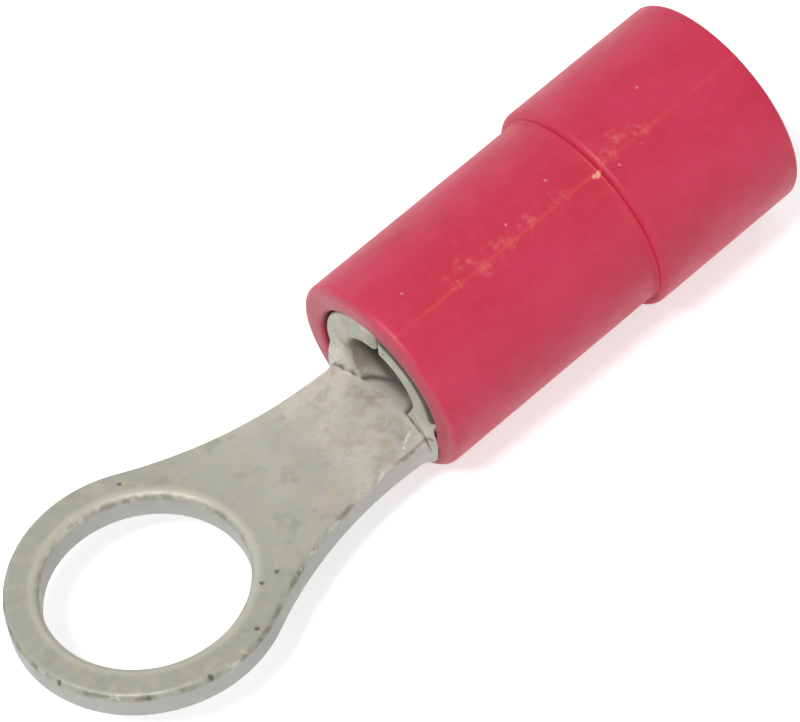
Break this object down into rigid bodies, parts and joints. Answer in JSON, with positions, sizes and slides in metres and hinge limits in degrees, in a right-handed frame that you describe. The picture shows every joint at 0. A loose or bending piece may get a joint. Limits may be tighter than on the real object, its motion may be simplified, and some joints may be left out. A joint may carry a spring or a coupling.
{
  "type": "insulated ring terminal",
  "caption": "Crimp ring terminal: a tinned copper ring tongue and rolled wire barrel in a stepped red insulating sleeve, for fastening a wire to a stud.",
  "frame": {"origin": "centre of the stud hole, on the underside of the tongue", "axes": "+Z is the tongue's normal, on the side to which the barrel is rolled; +X runs along the terminal to the wire"},
  "size_m": [0.0191, 0.0058, 0.0054],
  "materials": {
    "tinned_copper": "satin tin plate",
    "red_sleeve": "moulded, soft sheen"
  },
  "bodies": {
    "root": {"terminal": "tinned_copper", "insulating_sleeve": "red_sleeve"}
  },
  "joints": []
}
